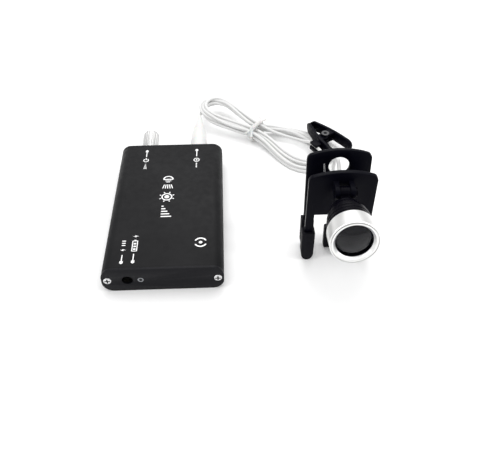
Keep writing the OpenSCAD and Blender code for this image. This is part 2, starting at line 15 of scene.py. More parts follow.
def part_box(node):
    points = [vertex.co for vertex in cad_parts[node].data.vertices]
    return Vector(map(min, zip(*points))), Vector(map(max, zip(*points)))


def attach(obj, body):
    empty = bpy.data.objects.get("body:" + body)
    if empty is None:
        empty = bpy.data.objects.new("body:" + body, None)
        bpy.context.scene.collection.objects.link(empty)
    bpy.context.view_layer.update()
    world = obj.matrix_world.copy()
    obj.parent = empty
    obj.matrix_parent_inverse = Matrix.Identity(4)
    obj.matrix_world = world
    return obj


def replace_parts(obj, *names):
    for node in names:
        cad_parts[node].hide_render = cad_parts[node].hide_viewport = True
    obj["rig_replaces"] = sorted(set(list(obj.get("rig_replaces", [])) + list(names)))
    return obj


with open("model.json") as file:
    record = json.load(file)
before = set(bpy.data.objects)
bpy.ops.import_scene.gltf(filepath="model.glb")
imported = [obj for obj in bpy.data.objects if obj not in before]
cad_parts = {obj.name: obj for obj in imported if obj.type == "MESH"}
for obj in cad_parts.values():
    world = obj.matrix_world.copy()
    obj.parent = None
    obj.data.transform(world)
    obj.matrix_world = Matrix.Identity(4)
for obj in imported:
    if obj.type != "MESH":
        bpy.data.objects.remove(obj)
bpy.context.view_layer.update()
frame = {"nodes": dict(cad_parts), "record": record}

MM = 0.001
RECORD = frame["record"]
JOINTS = {j["name"]: j for j in RECORD["behaviour"]["joints"]}
BODY_OF = {n: b for b, nodes in RECORD["behaviour"]["bodies"].items() for n in nodes}
ROOT = "pack_and_cable"
LAMP_ANGLE = math.radians(8.8)
CASE_LOW, CASE_HIGH = (Vector(c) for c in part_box("case_tube"))
CASE_MID_Z = (CASE_LOW.z + CASE_HIGH.z) / 2
LAMP_PIVOT = Vector(JOINTS["lamp_tilt"]["pos_m"])
CLIP_PIVOT = Vector(JOINTS["clip_squeeze"]["pos_m"])
LAPEL_PIVOT = Vector(JOINTS["lapel_open"]["pos_m"])
LAPEL_TURN = math.radians(-59.2)
HINGE_RISE = 0.0071
LAMP_BASE = LAMP_PIVOT - Vector((0, 0, HINGE_RISE))
ON_LAMP = Matrix.Translation(LAMP_BASE) @ Matrix.Rotation(math.pi / 2 - LAMP_ANGLE, 4, "X")
ON_LAPEL = Matrix.Translation(LAPEL_PIVOT) @ Matrix.Rotation(LAPEL_TURN, 4, "Z")


# ---- camera, light and floor ----

def add_camera():
    camera = bpy.data.objects.new("camera", bpy.data.cameras.new("camera"))
    camera.data.lens = 43.43
    camera.data.sensor_width = 36
    camera.data.clip_start = 0.01
    camera.location = (0.03455, -0.24554, 0.23152)
    camera.rotation_euler = (math.radians(90 - 44.07), 0, math.radians(-2.39))
    bpy.context.collection.objects.link(camera)
    bpy.context.scene.camera = camera


def add_area(name, place, aim, size, watts):
    """A rectangular light at a place, turned towards an aim."""
    light = bpy.data.objects.new(name, bpy.data.lights.new(name, "AREA"))
    light.data.shape = "RECTANGLE"
    light.data.size, light.data.size_y = size
    light.data.energy = watts
    light.location = place
    light.rotation_euler = (Vector(aim) - Vector(place)).to_track_quat("-Z", "Y").to_euler()
    bpy.context.collection.objects.link(light)


def add_stage():
    """A white surround, four soft lights and a paper floor."""
    world = bpy.data.worlds.new("studio")
    world.use_nodes = True
    background = world.node_tree.nodes["Background"]
    background.inputs["Color"].default_value = (1, 1, 1, 1)
    background.inputs["Strength"].default_value = 0.68
    bpy.context.scene.world = world
    add_area("overhead", (0.06, 0.16, 1.0), (0.05, 0.02, 0), (1.4, 1.0), 6.6)
    add_area("back", (0.1, 0.6, 0.6), (0.05, 0.0, 0.02), (0.5, 0.25), 1.6)
    add_area("right_strip", (0.55, -0.12, 0.32), (0.09, -0.04, 0.04), (0.05, 0.5), 0.8)
    add_area("left_strip", (-0.5, -0.2, 0.4), (0.05, -0.02, 0.03), (0.05, 0.5), 0.8)
    floor_mesh = bpy.data.meshes.new("floor")
    half = 1.6
    floor_mesh.from_pydata([(-half, -half, 0), (half, -half, 0), (half, half, 0), (-half, half, 0)],
                           [], [(0, 1, 2, 3)])
    floor = bpy.data.objects.new("floor", floor_mesh)
    bpy.context.collection.objects.link(floor)
    m = shader("floor_paper", (0.94, 0.94, 0.94), roughness=0.85, specular_ior_level=0.2)
    floor_mesh.materials.append(m)
    bpy.context.scene.view_settings.view_transform = "Standard"


# ---- materials ----

def shader(name, colour, **sockets):
    """A Principled material with constant values set on the shader's own sockets."""
    packed = bpy.data.materials.get(name)
    if packed:
        packed.name = name + "_packed"
    m = bpy.data.materials.new(name)
    m.use_nodes = True
    bsdf = m.node_tree.nodes["Principled BSDF"]
    bsdf.inputs["Base Color"].default_value = (*colour, 1)
    for key, value in sockets.items():
        bsdf.inputs[key.replace("_", " ").title().replace("Ior", "IOR")].default_value = value
    return m


def node(m, kind, **values):
    """A new node; each value goes to the input of that name, or else to the property."""
    n = m.node_tree.nodes.new(kind)
    for key, value in values.items():
        if key in n.inputs:
            n.inputs[key].default_value = value
        else:
            setattr(n, key, value)
    return n


def noise(m, scale, detail=3.0, stretch=(1, 1, 1)):
    """Noise in the object's own coordinates, with scale in cycles per metre."""
    links = m.node_tree.links
    coords = node(m, "ShaderNodeTexCoord")
    mapping = node(m, "ShaderNodeMapping")
    mapping.inputs["Scale"].default_value = stretch
    texture = node(m, "ShaderNodeTexNoise", Scale=scale, Detail=detail)
    links.new(coords.outputs["Object"], mapping.inputs["Vector"])
    links.new(mapping.outputs["Vector"], texture.inputs["Vector"])
    return texture.outputs["Fac"]


def vary(m, socket, factor, low, high):
    """Drives a socket of the shader between two numbers."""
    links = m.node_tree.links
    ramp = node(m, "ShaderNodeMapRange")
    ramp.inputs["From Min"].default_value = 0.3
    ramp.inputs["From Max"].default_value = 0.7
    ramp.inputs["To Min"].default_value = low
    ramp.inputs["To Max"].default_value = high
    links.new(factor, ramp.inputs["Value"])
    links.new(ramp.outputs["Result"], m.node_tree.nodes["Principled BSDF"].inputs[socket])


def tint(m, factor, low, high):
    """Varies the base colour between two colours."""
    links = m.node_tree.links
    ramp = node(m, "ShaderNodeValToRGB")
    ramp.color_ramp.elements[0].position = 0.3
    ramp.color_ramp.elements[1].position = 0.7
    ramp.color_ramp.elements[0].color = (*low, 1)
    ramp.color_ramp.elements[1].color = (*high, 1)
    links.new(factor, ramp.inputs["Fac"])
    links.new(ramp.outputs["Color"], m.node_tree.nodes["Principled BSDF"].inputs["Base Color"])


def bump(m, factor, strength, distance, after=None):
    """Raises the surface by the factor, with distance in metres, on top of an earlier bump."""
    links = m.node_tree.links
    b = node(m, "ShaderNodeBump", Strength=strength, Distance=distance)
    links.new(factor, b.inputs["Height"])
    if after:
        links.new(after.outputs["Normal"], b.inputs["Normal"])
    links.new(b.outputs["Normal"], m.node_tree.nodes["Principled BSDF"].inputs["Normal"])
    return b


def kept(mats, name, colour, **sockets):
    """A new material, kept in mats under its name."""
    mats[name] = shader(name, colour, **sockets)
    return mats[name]


def add_case_blacks(mats):
    """The case and its end plates."""
    m = kept(mats, "black_anodised", (0.007, 0.007, 0.008), roughness=0.5, specular_ior_level=0.12)
    vary(m, "Roughness", noise(m, 320, 4), 0.44, 0.58)
    coarse = bump(m, noise(m, 900, 3), 0.22, 0.00004)
    bump(m, noise(m, 2800, 2), 0.2, 0.00002, coarse)
    tint(m, noise(m, 60, 5), (0.006, 0.006, 0.0068), (0.0095, 0.0095, 0.0105))

    m = kept(mats, "end_plate_black", (0.005, 0.005, 0.007), roughness=0.45, specular_ior_level=0.14)
    vary(m, "Roughness", noise(m, 900, 3), 0.38, 0.55)
    bump(m, noise(m, 2600, 2), 0.2, 0.00002)


def add_bright_metals(mats):
    """The bezel, the dimmer knob and the screws."""
    m = kept(mats, "silver_satin", (0.86, 0.86, 0.85), metallic=1.0, roughness=0.4)
    rings = noise(m, 40, 3, (1, 1, 60))
    vary(m, "Roughness", rings, 0.34, 0.46)
    bump(m, rings, 0.04, 0.00002)

    m = kept(mats, "knob_aluminium", (0.66, 0.66, 0.655), metallic=1.0, roughness=0.36)
    turned = noise(m, 40, 3, (1, 60, 1))
    vary(m, "Roughness", turned, 0.3, 0.42)
    bump(m, turned, 0.04, 0.00002)

    m = kept(mats, "screw_steel", (0.75, 0.75, 0.76), metallic=1.0, roughness=0.25)
    vary(m, "Roughness", noise(m, 1500, 3), 0.18, 0.35)


def add_blacks(mats):
    """The lamp's barrel, and black plastic and rubber."""
    m = kept(mats, "black_gloss_metal", (0.0016, 0.0014, 0.0034), roughness=0.26,
             specular_ior_level=0.04)
    vary(m, "Roughness", noise(m, 500, 3), 0.22, 0.32)
    bump(m, noise(m, 1400, 3), 0.08, 0.00003)

    m = kept(mats, "black_plastic", (0.0015, 0.0015, 0.0042), roughness=0.38, specular_ior_level=0.05)
    vary(m, "Roughness", noise(m, 300, 4), 0.3, 0.45)
    bump(m, noise(m, 1800, 2), 0.15, 0.00004)

    m = kept(mats, "black_rubber", (0.003, 0.003, 0.0055), roughness=0.6, specular_ior_level=0.1)
    vary(m, "Roughness", noise(m, 400, 4), 0.5, 0.7)
    bump(m, noise(m, 1200, 3), 0.25, 0.00005)

    m = kept(mats, "jack_plastic", (0.012, 0.012, 0.012), roughness=0.35)
    vary(m, "Roughness", noise(m, 500, 3), 0.3, 0.42)


def add_inner_materials(mats):
    """The charge light and what is inside the pack."""
    m = kept(mats, "gold_contact", (0.9, 0.62, 0.22), metallic=1.0, roughness=0.22)
    vary(m, "Roughness", noise(m, 900, 3), 0.16, 0.3)

    m = kept(mats, "led_epoxy", (0.3, 0.31, 0.33), roughness=0.12, transmission_weight=0.2)
    vary(m, "Roughness", noise(m, 900, 2), 0.08, 0.18)

    m = kept(mats, "board_green", (0.01, 0.1, 0.04), roughness=0.3)
    tint(m, noise(m, 500, 6, (1, 3, 1)), (0.008, 0.085, 0.03), (0.015, 0.14, 0.05))

    m = kept(mats, "chip_black", (0.02, 0.02, 0.02), roughness=0.5)
    vary(m, "Roughness", noise(m, 800, 3), 0.42, 0.6)

    m = kept(mats, "cell_foil", (0.65, 0.66, 0.68), metallic=0.9, roughness=0.35)
    bump(m, noise(m, 160, 4), 0.3, 0.0002)

    m = kept(mats, "foam", (0.06, 0.06, 0.065), roughness=0.9)
    bump(m, noise(m, 1500, 4), 0.8, 0.0002)

    m = kept(mats, "lead_red", (0.45, 0.02, 0.015), roughness=0.4)
    vary(m, "Roughness", noise(m, 700, 3), 0.34, 0.46)


def add_whites(mats):
    """The cable, and the plug and tie."""
    m = kept(mats, "white_cable", (0.69, 0.69, 0.685), roughness=0.4)
    vary(m, "Roughness", noise(m, 600, 3), 0.36, 0.5)
    bump(m, noise(m, 900, 3), 0.1, 0.00004)

    m = kept(mats, "white_moulded", (0.7, 0.7, 0.69), roughness=0.33, subsurface_weight=0.1,
             subsurface_scale=0.001)
    vary(m, "Roughness", noise(m, 350, 3), 0.28, 0.4)
    bump(m, noise(m, 1300, 2), 0.08, 0.00004)


def add_lamp_materials(mats):
    """The clip springs, the lamp with its optics, and two greys."""
    m = kept(mats, "spring_wire", (0.72, 0.72, 0.73), metallic=1.0, roughness=0.2)
    vary(m, "Roughness", noise(m, 1500, 2), 0.14, 0.28)

    m = kept(mats, "board_white", (0.82, 0.83, 0.83), roughness=0.35)
    vary(m, "Roughness", noise(m, 600, 3), 0.3, 0.42)

    m = kept(mats, "emitter_yellow", (0.85, 0.66, 0.06), roughness=0.2)
    vary(m, "Roughness", noise(m, 900, 3), 0.15, 0.28)

    m = kept(mats, "lens_glass", (0.34, 0.35, 0.4), roughness=0.02, transmission_weight=1.0, ior=1.36)
    tint(m, noise(m, 120, 2), (0.17, 0.17, 0.22), (0.22, 0.22, 0.27))

    m = kept(mats, "lug_grey", (0.05, 0.05, 0.053), roughness=0.35)
    vary(m, "Roughness", noise(m, 900, 3), 0.3, 0.42)

    m = kept(mats, "baffle_grey", (0.035, 0.035, 0.038), roughness=0.25)
    vary(m, "Roughness", noise(m, 700, 3), 0.2, 0.32)


def add_print_white(mats):
    m = kept(mats, "print_white", (0.82, 0.82, 0.82), roughness=0.55)
    vary(m, "Roughness", noise(m, 1500, 3), 0.45, 0.65)
    tint(m, noise(m, 1800, 3), (0.84, 0.84, 0.84), (0.96, 0.96, 0.96))


def make_materials():
    mats = {}
    for add in (add_case_blacks, add_bright_metals, add_blacks, add_inner_materials, add_whites,
                add_lamp_materials, add_print_white):
        add(mats)
    return mats


# ---- mesh helpers ----

def link(obj):
    bpy.context.collection.objects.link(obj)
    return obj


def finish_mesh(name, bm, material, body, sharp=35, replaces=()):
    """Turns a bmesh into a piece that rides on a body."""
    bmesh.ops.remove_doubles(bm, verts=bm.verts, dist=1e-7)
    bmesh.ops.recalc_face_normals(bm, faces=bm.faces)
    mesh = bpy.data.meshes.new(name)
    bm.to_mesh(mesh)
    bm.free()
    mesh.materials.append(material)
    mesh.shade_smooth()
    mesh.set_sharp_from_angle(angle=math.radians(sharp))
    piece = link(bpy.data.objects.new(name, mesh))
    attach(piece, body)
    if replaces:
        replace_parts(piece, *replaces)
    return piece


def soften(name, material, width_mm, segments=2):
    """A copy of a CAD node with its sharp edges rounded, standing in for it."""
    bm = bmesh.new()
    bm.from_mesh(frame["nodes"][name].data)
    bmesh.ops.remove_doubles(bm, verts=bm.verts, dist=2e-6)
    bmesh.ops.dissolve_limit(bm, angle_limit=math.radians(0.5), verts=bm.verts, edges=bm.edges)
    mesh = bpy.data.meshes.new(name + "_soft")
    bm.to_mesh(mesh)
    bm.free()
    holder = link(bpy.data.objects.new(name + "_soft", mesh))
    bevel = holder.modifiers.new("bevel", "BEVEL")
    bevel.width = width_mm * MM
    bevel.segments = segments
    bevel.limit_method = "ANGLE"
    bevel.angle_limit = math.radians(40)
    bevel.use_clamp_overlap = True
    rounded = bpy.data.meshes.new_from_object(holder.evaluated_get(bpy.context.evaluated_depsgraph_get()))
    bpy.data.objects.remove(holder)
    rounded.materials.clear()
    rounded.materials.append(material)
    rounded.shade_smooth()
    rounded.set_sharp_from_angle(angle=math.radians(38))
    piece = link(bpy.data.objects.new(name + "_piece", rounded))
    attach(piece, BODY_OF[name])
    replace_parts(piece, name)
    return piece


def rounded_profile(points, radius, steps=3):
    """Replaces each inner corner of a profile with a small arc."""
    out = [Vector(points[0])]
    for before, at, after in zip(points, points[1:], points[2:]):
        before, at, after = Vector(before), Vector(at), Vector(after)
        a, b = before - at, after - at
        if a.length < 1e-9 or b.length < 1e-9 or abs(a.normalized().dot(b.normalized())) > 0.999:
            out.append(at)
            continue
        cut = min(radius, a.length * 0.45, b.length * 0.45)
        p, q = at + a.normalized() * cut, at + b.normalized() * cut
        for i in range(steps + 1):
            t = i / steps
            out.append((1 - t) ** 2 * p + 2 * t * (1 - t) * at + t * t * q)
    out.append(Vector(points[-1]))
    return out


def lathe(bm, profile_mm, place, segments=128, round_mm=0.15, shape=None):
    """Revolves (radius, height) points about the local Z axis. shape may change each radius."""
    profile = rounded_profile(profile_mm, round_mm)
    rings = []
    for r, z in profile:
        ring = []
        for k in range(segments):
            a = 2 * math.pi * k / segments
            rr = shape(r, z, a) if shape else r
            x, y = rr * math.cos(a) * MM, rr * math.sin(a) * MM
            ring.append(bm.verts.new(place @ Vector((x, y, z * MM))))
        rings.append(ring)
    for low, high in zip(rings, rings[1:]):
        for k in range(segments):
            n = (k + 1) % segments
            bm.faces.new((low[k], low[n], high[n], high[k]))
    return rings


def sweep(bm, points, radius, sides=12):
    """A round tube with flat ends along points in metres."""
    pts = [Vector(p) for p in points]
    rings = []
    up = Vector((0, 0, 1))
    last = None
    for i, p in enumerate(pts):
        t = (pts[min(i + 1, len(pts) - 1)] - pts[max(i - 1, 0)]).normalized()
        if last is None:
            side = t.cross(up if abs(t.z) < 0.9 else Vector((1, 0, 0))).normalized()
        else:
            side = (last - t * last.dot(t)).normalized()
        last = side
        other = t.cross(side)
        rings.append([bm.verts.new(p + radius * (math.cos(2 * math.pi * k / sides) * side
                                                + math.sin(2 * math.pi * k / sides) * other))
                      for k in range(sides)])
    for low, high in zip(rings, rings[1:]):
        for k in range(sides):
            n = (k + 1) % sides
            bm.faces.new((low[k], low[n], high[n], high[k]))
    bm.faces.new(rings[0][::-1])
    bm.faces.new(rings[-1])


# ---- cable ----

CABLE_D_MM = 2.0
PLUG_ROUTE_MM = [(15.5, 89.8, 7.5), (15.4, 92, 7.6), (15.5, 94, 7.8)]
TO_LAPEL_CLIP_MM = [(60, 75.4, 5.2), (67.5, 71.6, 4.8), (75, 68.4, 4.2), (79.5, 66.6, 3.9)]
LAMP_ROUTE_MM = [(82, 65.2, 3.8), (84.2, 63, 5.2), (85.7, 60.5, 6), (87.2, 57.9, 6.1),
                 (89.3, 54.4, 6.1), (91, 51.2, 5.8), (92.4, 48.2, 4.9), (93.5, 45, 3.8),
                 (94.2, 41.5, 3.7), (94.5, 38, 3.4), (94.8, 33.5, 1.8), (94.8, 29, 1),
                 (94.2, 24.5, 1.5), (93.4, 20.5, 3.4), (92.6, 17, 7), (91.9, 14, 12), (91.2, 11.4, 18),
                 (90.5, 9, 24.5), (89.8, 6, 31.5), (89.1, 2, 38.5), (88.5, -3, 44), (87.9, -9, 47.6),
                 (87.5, -15, 48.6), (87.2, -20, 47.8), (87.2, -24, 46.4), (87.2, -26.6, 46)]
# The outermost and innermost turns of the tied hank. Each starts at the narrow loop's left,
# goes over its far side, through the tie, round the wide loop and back along the near side.
OUTER_TURN_MM = [(13.8, 97.5, 8), (15.2, 104.2, 8), (20.6, 110, 7.6), (28.6, 111.8, 7.2),
                 (35.4, 106.6, 6.8), (41.3, 98, 6.4), (48, 88.6, 6), (54.6, 79.2, 5.4),
                 (60.5, 81, 4.2), (68, 82.8, 3), (77, 82, 2.2), (87, 77.8, 1.6), (96.5, 70, 1.2),
                 (102, 60, 1.1), (102.6, 50.5, 1.1), (98.5, 42.5, 1.1), (90, 37.2, 1.1),
                 (80, 35.8, 1.1), (72.4, 39.4, 1.1), (66, 48, 1.4), (60.4, 58.8, 2.4),
                 (55.6, 67.2, 3.8), (49.6, 72.2, 5.4), (42, 73.2, 6.8), (34.5, 75.8, 7.6),
                 (27.6, 79.4, 8), (21.8, 84.6, 8.2), (16.2, 90.6, 8.2)]
INNER_TURN_MM = [(18.2, 97.4, 8.6), (19.8, 103.2, 8.8), (24.8, 106.6, 8.8), (30.6, 104.4, 8.4),
                 (35.8, 98.4, 8), (41.2, 91, 7.4), (46.8, 83.8, 6.6), (52.4, 77, 5.6), (59, 77.4, 4.6),
                 (67, 77.8, 3.6), (75, 75.5, 2.8), (83, 70.5, 2), (89.5, 64, 1.6), (93, 57, 1.5),
                 (92.3, 50.3, 1.5), (88, 46.3, 1.5), (82, 46, 1.5), (76, 49, 1.6), (70.5, 54.5, 2),
                 (65, 61, 2.8), (60, 67.5, 3.6), (55.5, 72.4, 4.6), (50.6, 75.4, 5.6), (44, 78.6, 6.8),
                 (37, 82.4, 7.6), (30.4, 85.6, 8.2), (24.4, 88.4, 8.5), (20, 92.2, 8.6)]
# Where each turn lies between the outermost (0) and innermost (1): on the narrow loop's far
# side, the wide loop's far side, the wide loop's near side and the narrow loop's near side.
TURN_SPREAD = [(0.45, 0.1, 0.05, 0.05), (0.65, 0.45, 0.3, 0.4), (0.0, 0.95, 0.62, 0.7),
               (0.8, 0.62, 0.12, 0.2), (0.9, 1.0, 0.9, 0.95)]
SPREAD_AT = (4, 10, 18, 25)
TURNS = len(TURN_SPREAD)
TIE_AT_MM = (52.0, 76.0)
TIE_TURN = math.radians(-39)
TIE_HALF_MM = 6.2
LAPEL_ZONE_MM = ((86, 112), (42, 82))


def smooth_path(points, step):
    """A Catmull-Rom curve through points, resampled to even steps."""
    cuts_per_span = 24
    p = np.array(points, float)
    p = np.vstack([2 * p[0] - p[1], p, 2 * p[-1] - p[-2]])
    t = np.linspace(0, 1, cuts_per_span, endpoint=False)[:, None]
    dense = [0.5 * (2 * b + (c - a) * t + (2 * a - 5 * b + 4 * c - d) * t ** 2
                    + (3 * b - a - 3 * c + d) * t ** 3)
             for a, b, c, d in zip(p, p[1:], p[2:], p[3:])]
    dense = np.vstack(dense + [p[-2][None]])
    along = np.concatenate([[0], np.cumsum(np.linalg.norm(np.diff(dense, axis=0), axis=1))])
    count = max(2, int(round(along[-1] / step)) + 1)
    even = np.linspace(0, along[-1], count)
    return np.stack([np.interp(even, along, dense[:, k]) for k in range(3)], axis=1)


def cable_start():
    """The cable's rough route before it settles: plug end, turns of the hank, lamp end."""
    outer, inner = np.array(OUTER_TURN_MM), np.array(INNER_TURN_MM)
    count = len(outer)
    places = [t * count + at for t in range(TURNS) for at in SPREAD_AT]
    spread = [w for turn in TURN_SPREAD for w in turn]
    drift = np.random.default_rng(7).normal(0, 1, (2, 3))
    wander, lift, lead_out, lead_out_spread = 0.35, 0.3, 8, 0.7
    route = list(PLUG_ROUTE_MM)
    for i in range(TURNS * count + lead_out):
        at = i % count
        w = np.interp(i, places, spread) if i < TURNS * count else lead_out_spread
        x, y, z = (1 - w) * outer[at] + w * inner[at]
        wave = 2 * math.pi * i / count
        x += wander * sum(drift[0, h] * math.sin((0.71 + h) * wave) for h in range(3))
        y += wander * sum(drift[1, h] * math.cos((0.63 + h) * wave) for h in range(3))
        route.append((x, y, z + lift * (i // count)))
    route += TO_LAPEL_CLIP_MM
    route += LAMP_ROUTE_MM
    return route


def push_apart(p, free):
    """Moves strands apart where they are closer than the cable's width and a little air."""
    clear, near_links, gain = CABLE_D_MM * 1.03, 4, 1.2
    n = len(p)
    index = np.arange(n)
    gap = p[:, None, :] - p[None, :, :]
    dist = np.sqrt((gap ** 2).sum(axis=2))
    near = (dist < clear) & (np.abs(index[:, None] - index[None, :]) > near_links)
    a, b = np.nonzero(np.triu(near))
    if not len(a):
        return
    apart = gap[a, b] / np.maximum(dist[a, b], 1e-6)[:, None]
    push = 0.5 * (clear - dist[a, b])[:, None] * apart
    move = np.zeros_like(p)
    hits = np.zeros(n)
    np.add.at(move, a, push)
    np.add.at(move, b, -push)
    np.add.at(hits, a, 1)
    np.add.at(hits, b, 1)
    p[free] += (move / np.maximum(hits, 1)[:, None])[free] * gain


def straighten(p, free, gain):
    """Moves each point towards the middle of its neighbours."""
    second = p[:-2] + p[2:] - 2 * p[1:-1]
    p[1:-1][free[1:-1]] += gain * second[free[1:-1]]


def even_links(p, free, spacing):
    """Brings each link nearer to its length."""
    step = p[1:] - p[:-1]
    length = np.linalg.norm(step, axis=1)[:, None]
    fix = 0.5 * (length - spacing) / np.maximum(length, 1e-6) * step
    move = np.zeros_like(p)
    move[:-1] += fix
    move[1:] -= fix
    p[free] += 0.5 * move[free]


def keep_inside(p, free):
    """Keeps strands within the tie, under the lapel clip and on the floor."""
    tie_reach_mm, lapel_top_mm, radius = 2.6, 1.75, CABLE_D_MM / 2
    axis = np.array([math.cos(TIE_TURN), math.sin(TIE_TURN)])
    across = np.array([-axis[1], axis[0]])
    local = p[:, :2] - np.array(TIE_AT_MM)
    inside = (np.abs(local @ axis) < tie_reach_mm) & free
    side = local @ across
    over = np.clip(np.abs(side) - (TIE_HALF_MM - radius), 0, None) * np.sign(side)
    p[inside, :2] -= (over[:, None] * across)[inside]
    (x0, x1), (y0, y1) = LAPEL_ZONE_MM
    under = free & (p[:, 0] > x0) & (p[:, 0] < x1) & (p[:, 1] > y0) & (p[:, 1] < y1)
    p[under, 2] = np.minimum(p[under, 2], lapel_top_mm)
    p[free, 2] = np.maximum(p[free, 2], radius)


def settle(points, spacing, rounds):
    """Position-based dynamics from a rough route. Both ends of the cable are held still."""
    plug_held_mm, lamp_held_mm = 5, 128
    stiffness, shape_pull, shape_until, link_rounds = 0.12, 0.07, 0.9, 2
    fairing, fairing_rounds = 0.25, 5
    p = points.copy()
    target = points.copy()
    n = len(p)
    held = np.zeros(n, bool)
    held[:int(plug_held_mm / spacing)] = True
    held[n - int(lamp_held_mm / spacing):] = True
    free = ~held
    for k in range(rounds):
        push_apart(p, free)
        straighten(p, free, stiffness)
        if k < rounds * shape_until:
            p[free] += (shape_pull * (target - p))[free]
        for _ in range(link_rounds):
            even_links(p, free, spacing)
        keep_inside(p, free)
    for _ in range(fairing_rounds):
        straighten(p, free, fairing)
    return p


def add_cable(mats):
    """The settled cable as a round curve, with the place where it leaves the lamp and its length."""
    spacing = 2.0
    quick_rounds, full_rounds = 150, 420
    start = smooth_path(cable_start(), spacing)
    path = settle(start, spacing, full_rounds)[::-1]
    length = float(np.linalg.norm(np.diff(path, axis=0), axis=1).sum()) * MM
    curve = bpy.data.curves.new("cable", "CURVE")
    curve.dimensions = "3D"
    curve.bevel_depth = CABLE_D_MM / 2 * MM
    curve.bevel_resolution = 3
    curve.resolution_u = 2
    curve.use_fill_caps = True
    spline = curve.splines.new("NURBS")
    spline.points.add(len(path) - 1)
    for point, place in zip(spline.points, path):
        point.co = (*(place * MM), 1)
    spline.order_u = 4
    spline.use_endpoint_u = True
    curve.materials.append(mats["white_cable"])
    cable = link(bpy.data.objects.new("cable", curve))
    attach(cable, ROOT)
    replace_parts(cable, "cord_plug_end", "cable_hank", "cord_lamp_end")
    return cable, path[0] * MM, length


# ---- assembly ----

SCREW_HEAD_R_MM = 2.0
EDGE_ROUND_MM = {"case_tube": 0.25, "front_end_plate": 0.2, "rear_end_plate": 0.2, "front_plate": 0.3,
                 "rear_plate": 0.3, "front_sleeves": 0.7, "rear_sleeves": 0.7, "centre_pad": 0.5,
                 "cable_holder": 0.2, "lapel_inner_jaw": 0.35, "lapel_outer_jaw": 0.35,
                 "lamp_knuckle": 0.25, "dimmer_nut": 0.25}


def dress_cad(mats):
    """Every CAD node gets its slot's material."""
    for part in RECORD["subparts"]:
        obj = frame["nodes"][part["node"]]
        obj.data.materials.clear()
        obj.data.materials.append(mats[part["material_slot"]])


def soften_cad(mats):
    """Rounds the edges of the CAD nodes that show most; the end plates get a finer black."""
    for name, width_mm in EDGE_ROUND_MM.items():
        slot = next(p["material_slot"] for p in RECORD["subparts"] if p["node"] == name)
        piece = soften(name, mats[slot], width_mm)
        if "end_plate" in name:
            piece.data.materials[0] = mats["end_plate_black"]


def along(point, direction_angle=-math.pi / 2):
    """A frame at a point in metres whose local Z runs along +Y, or towards another direction."""
    return Matrix.Translation(point) @ Matrix.Rotation(direction_angle, 4, "X")


def add_lamp(mats):
    """The bezel, the stepped barrel, the domed lens and the ridged baffle behind it."""
    bm = bmesh.new()
    lathe(bm, [(9.3, 21.4), (10.8, 21.4), (11.1, 21.7), (11.1, 30.5), (10.8, 30.9), (10.62, 30.95),
               (10.58, 30.2), (10.3, 30.2), (10.26, 31.0), (9.6, 31.0), (9.4, 30.9), (8.6, 29.75),
               (8.45, 29.6), (8.45, 29.2), (9.3, 29.2), (9.3, 21.4)],
          ON_LAMP, 192, 0.06)
    finish_mesh("bezel_ring", bm, mats["silver_satin"], "lamp", 30, ["bezel"])

    bm = bmesh.new()
    outline = [(0, 7.2), (7.2, 7.2), (7.4, 7.4), (7.4, 9.4), (8.6, 9.5), (8.6, 11.2), (7.8, 11.3),
               (7.8, 12.2), (9.6, 12.3), (9.6, 14.1), (8.8, 14.3), (8.8, 15.0), (10.1, 15.1), (10.2, 15.3)]
    for z in (17.0, 19.2):
        outline += [(10.2, z), (10.0, z + 0.12), (10.0, z + 0.5), (10.2, z + 0.62)]
    outline += [(10.2, 21.38), (9.2, 21.38), (9.2, 24.4), (8.2, 24.4), (8.2, 14.0), (0, 14.0)]
    lathe(bm, outline, ON_LAMP, 160, 0.1)
    finish_mesh("barrel_turned", bm, mats["black_gloss_metal"], "lamp", 30, ["lamp_barrel"])

    bm = bmesh.new()
    rim_z, dome_r, dome_edge = 26.6, 16.0, 8.2
    sag = dome_r - math.sqrt(dome_r ** 2 - dome_edge ** 2)
    outline = [(0, rim_z), (9.0, rim_z), (9.1, rim_z + 0.1), (9.1, rim_z + 1.6), (9.0, rim_z + 1.7)]
    for i in range(13):
        r = dome_edge * (1 - i / 12)
        outline.append((r, rim_z + 1.7 + sag - dome_r + math.sqrt(dome_r ** 2 - r * r)))
    lathe(bm, outline, ON_LAMP, 128, 0.0)
    finish_mesh("lens_element", bm, mats["lens_glass"], "lamp", 40, ["lens"])

    bm = bmesh.new()
    outline = [(8.1, 16.6), (8.1, 26.5), (7.4, 26.5)]
    for k in range(9):
        z = 26.3 - k
        outline += [(6.9, z), (7.3, z - 0.35), (7.3, z - 0.6)]
    outline += [(2.6, 17.2), (2.6, 16.6), (8.1, 16.6)]
    lathe(bm, outline, ON_LAMP, 96, 0.0)
    finish_mesh("lens_baffle", bm, mats["baffle_grey"], "lamp", 30, ["lens_holder"])


